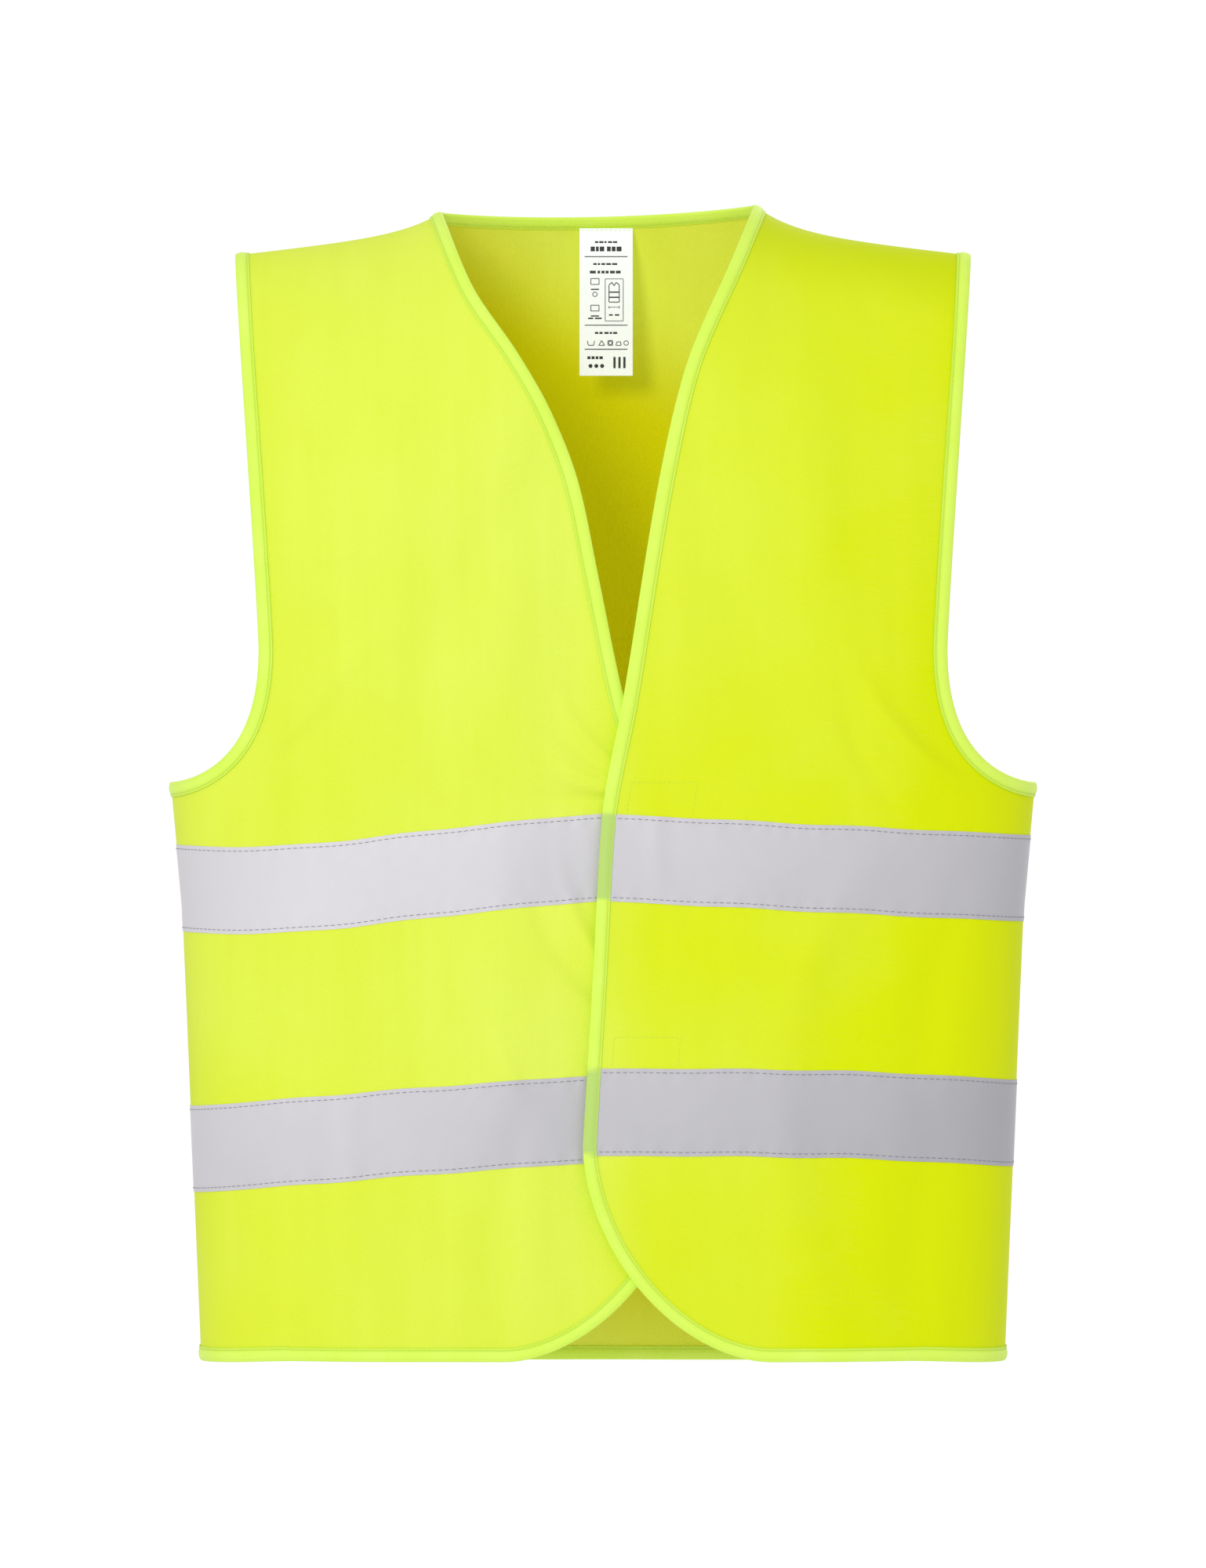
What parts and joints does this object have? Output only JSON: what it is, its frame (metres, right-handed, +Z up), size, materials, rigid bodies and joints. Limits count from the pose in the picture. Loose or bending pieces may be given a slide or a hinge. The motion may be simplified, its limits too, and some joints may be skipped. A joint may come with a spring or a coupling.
{
  "type": "high visibility vest",
  "caption": "Sleeveless fluorescent yellow safety vest in its worn shape, with bound edges, reflective tape bands, an overlapping hook-and-loop front and a hanging size label.",
  "frame": {"origin": "midway between the two neck points on the shoulder line, where the vest hangs on its wearer", "axes": "+Z up along the body, -Y forwards (the way the wearer faces), +X to the wearer's left"},
  "size_m": [0.5034, 0.1984, 0.6739],
  "materials": {
    "fluorescent_cloth": "plain knitted polyester, fluorescent yellow, soft sheen",
    "edge_binding": "folded ribbon, slightly translucent, lime",
    "reflective_tape": "silver grey glass-bead tape, satin",
    "hook_and_loop": "hook-and-loop fastener, matt",
    "overlock_thread": "overlocked seam allowance",
    "label_satin": "white satin ribbon, printed black"
  },
  "bodies": {
    "root": {"back_panel": "fluorescent_cloth", "left_front_panel": "fluorescent_cloth", "right_front_panel": "fluorescent_cloth", "back_neck_binding": "edge_binding", "left_neckline_binding": "edge_binding", "right_neckline_binding": "edge_binding", "back_hem_binding": "edge_binding", "left_hem_binding": "edge_binding", "right_hem_binding": "edge_binding", "left_armhole_binding": "edge_binding", "right_armhole_binding": "edge_binding", "upper_tape_back": "reflective_tape", "lower_tape_back": "reflective_tape", "upper_tape_left_side": "reflective_tape", "lower_tape_left_side": "reflective_tape", "upper_tape_right_side": "reflective_tape", "lower_tape_right_side": "reflective_tape", "left_side_seam": "overlock_thread", "right_side_seam": "overlock_thread", "left_shoulder_seam": "overlock_thread", "right_shoulder_seam": "overlock_thread"},
    "left_flap": {"left_front_flap": "fluorescent_cloth", "left_front_edge_binding": "edge_binding", "upper_tape_left_flap": "reflective_tape", "lower_tape_left_flap": "reflective_tape", "upper_loop_patch": "hook_and_loop", "lower_loop_patch": "hook_and_loop"},
    "right_flap": {"right_front_flap": "fluorescent_cloth", "right_front_edge_binding": "edge_binding", "upper_tape_right_flap": "reflective_tape", "lower_tape_right_flap": "reflective_tape", "upper_hook_patch": "hook_and_loop", "lower_hook_patch": "hook_and_loop"},
    "label": {"size_label": "label_satin"}
  },
  "joints": [
    {"name": "left_front_fold", "type": "hinge", "parent": "root", "child": "left_flap", "pos_m": [0.15, -0.1021, -0.665], "axis": [-0.1716, -0.0034, 0.9852], "range_deg": [0, 140]},
    {"name": "right_front_fold", "type": "hinge", "parent": "root", "child": "right_flap", "pos_m": [-0.15, -0.1021, -0.665], "axis": [-0.1716, 0.0034, -0.9852], "range_deg": [0, 70]},
    {"name": "label_flip", "type": "hinge", "parent": "root", "child": "label", "pos_m": [0.0018, 0.05179, -0.0088], "axis": [-1, 0, 0], "range_deg": [0, 110]}
  ],
  "couplings": [
    {"joint": "right_front_fold", "follows": "left_front_fold", "ratio": 0.5}
  ]
}
